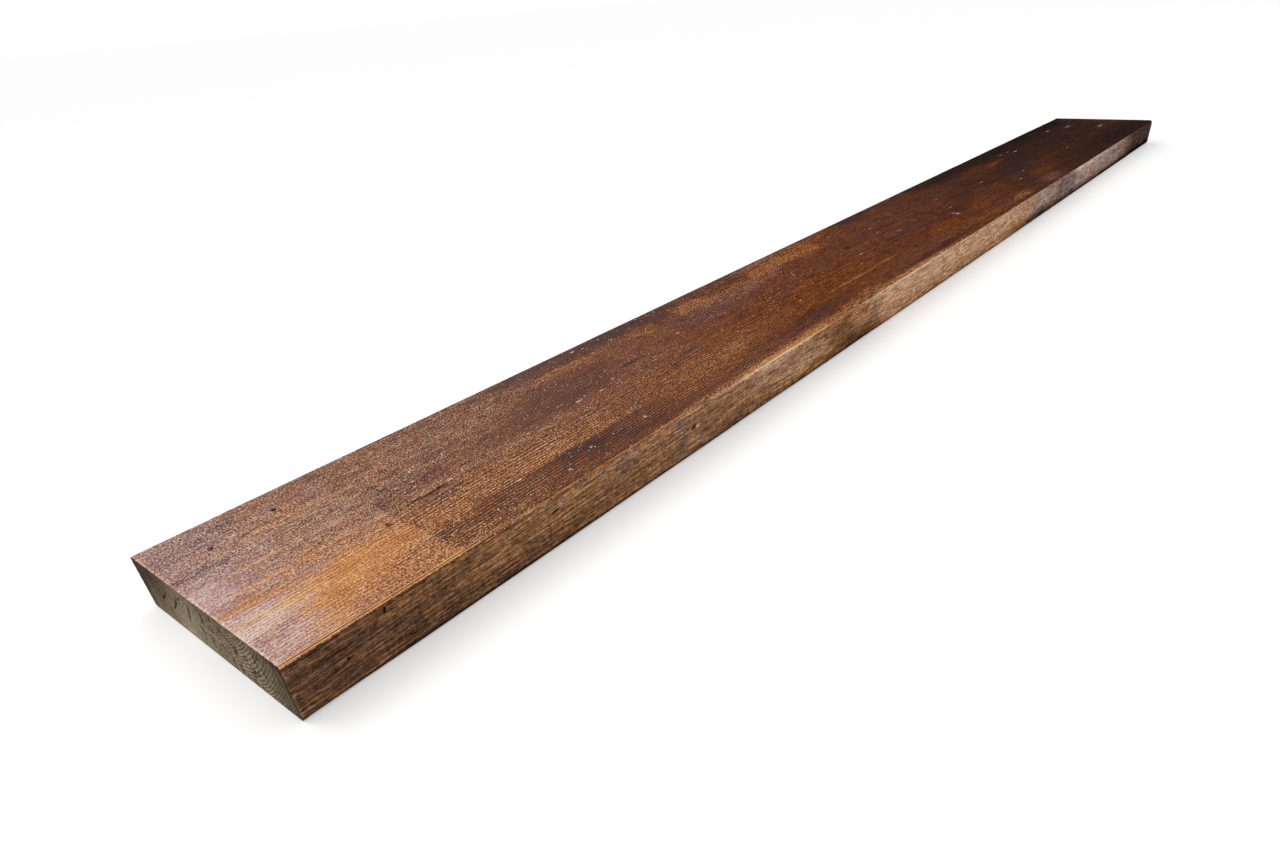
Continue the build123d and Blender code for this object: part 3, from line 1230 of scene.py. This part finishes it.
def make_sky(strength):
    """Even white light from all sides. The camera and mirrors see it as plain white."""
    world = bpy.data.worlds.new("even_white_sky")
    world.use_nodes = True
    tree = world.node_tree
    tree.nodes.clear()
    seen = add_node(tree, "LightPath", output="Is Camera Ray")
    for ray in ("Is Glossy Ray", "Is Transmission Ray"):
        inputs = {0: seen, 1: add_node(tree, "LightPath", output=ray)}
        seen = add_node(tree, "Math", inputs, operation="MAXIMUM")
    light, white = (
        add_node(tree, "Background", {"Color": (1, 1, 1, 1), "Strength": power})
        for power in (strength, 1.0)
    )
    mixed = add_node(tree, "MixShader", {0: seen, 1: light, 2: white})
    add_node(tree, "OutputWorld", {"Surface": mixed})
    return world


def make_lamp(power):
    """A round, soft lamp behind the board, turned toward its close half."""
    data = bpy.data.lights.new("soft_lamp", "AREA")
    data.shape = "DISK"
    data.size = LAMP_WIDTH
    data.energy = power
    lamp = new_object("soft_lamp", data)
    lamp.location = LAMP_PLACE
    aim = Vector(LAMP_AIM) - lamp.location
    lamp.rotation_euler = aim.to_track_quat("-Z", "Y").to_euler()


def make_camera(lens):
    """The camera near the close end, low over the front edge."""
    data = bpy.data.cameras.new("camera")
    data.lens = lens
    data.sensor_width = 36.0
    data.shift_x, data.shift_y = CAMERA_SHIFTS
    data.clip_start = 0.01
    camera = new_object("camera", data)
    camera.location = Vector(CAMERA_PLACE) * MM
    camera.rotation_euler = [radians(turn) for turn in CAMERA_TURNS]
    return camera


class BOARD_OT_make_stage(bpy.types.Operator):
    """Make the pale floor, the soft light and the camera"""

    bl_idname = "board.make_stage"
    bl_label = "Make Stage"

    def execute(self, context):
        scene = context.scene
        settings = scene.board_stage
        floor = make_floor()
        scene.world = make_sky(settings.sky)
        make_lamp(settings.lamp)
        scene.camera = make_camera(settings.lens)
        scene.view_settings.view_transform = "Standard"
        return {"FINISHED"}


class BOARD_PT_panel(bpy.types.Panel):
    bl_label = "Decking Board"
    bl_idname = "BOARD_PT_panel"
    bl_space_type = "VIEW_3D"
    bl_region_type = "UI"
    bl_category = "Board"

    def draw(self, context):
        scene = context.scene
        for group, names in (
            (scene.board_shape, ("arris_radius", "ridge_depth", "check_depth")),
            (scene.board_finish, ("stain_rust", "stain_gold", "bare_wood")),
            (scene.board_stage, ("lens", "sky", "lamp")),
        ):
            for name in names:
                self.layout.prop(group, name)
        self.layout.operator(BOARD_OT_make_plank.bl_idname)
        self.layout.operator(BOARD_OT_make_stage.bl_idname)


CLASSES = (
    BoardShape,
    BoardFinish,
    StageSettings,
    BOARD_OT_make_plank,
    BOARD_OT_make_stage,
    BOARD_PT_panel,
)


def register():
    for item in CLASSES:
        bpy.utils.register_class(item)
    bpy.types.Scene.board_shape = PointerProperty(type=BoardShape)
    bpy.types.Scene.board_finish = PointerProperty(type=BoardFinish)
    bpy.types.Scene.board_stage = PointerProperty(type=StageSettings)


def unregister():
    del bpy.types.Scene.board_stage
    del bpy.types.Scene.board_finish
    del bpy.types.Scene.board_shape
    for item in reversed(CLASSES):
        bpy.utils.unregister_class(item)


def main():
    """Makes the board and its stage."""
    register()
    bpy.ops.board.make_plank()
    bpy.ops.board.make_stage()


if __name__ == "__main__":
    main()
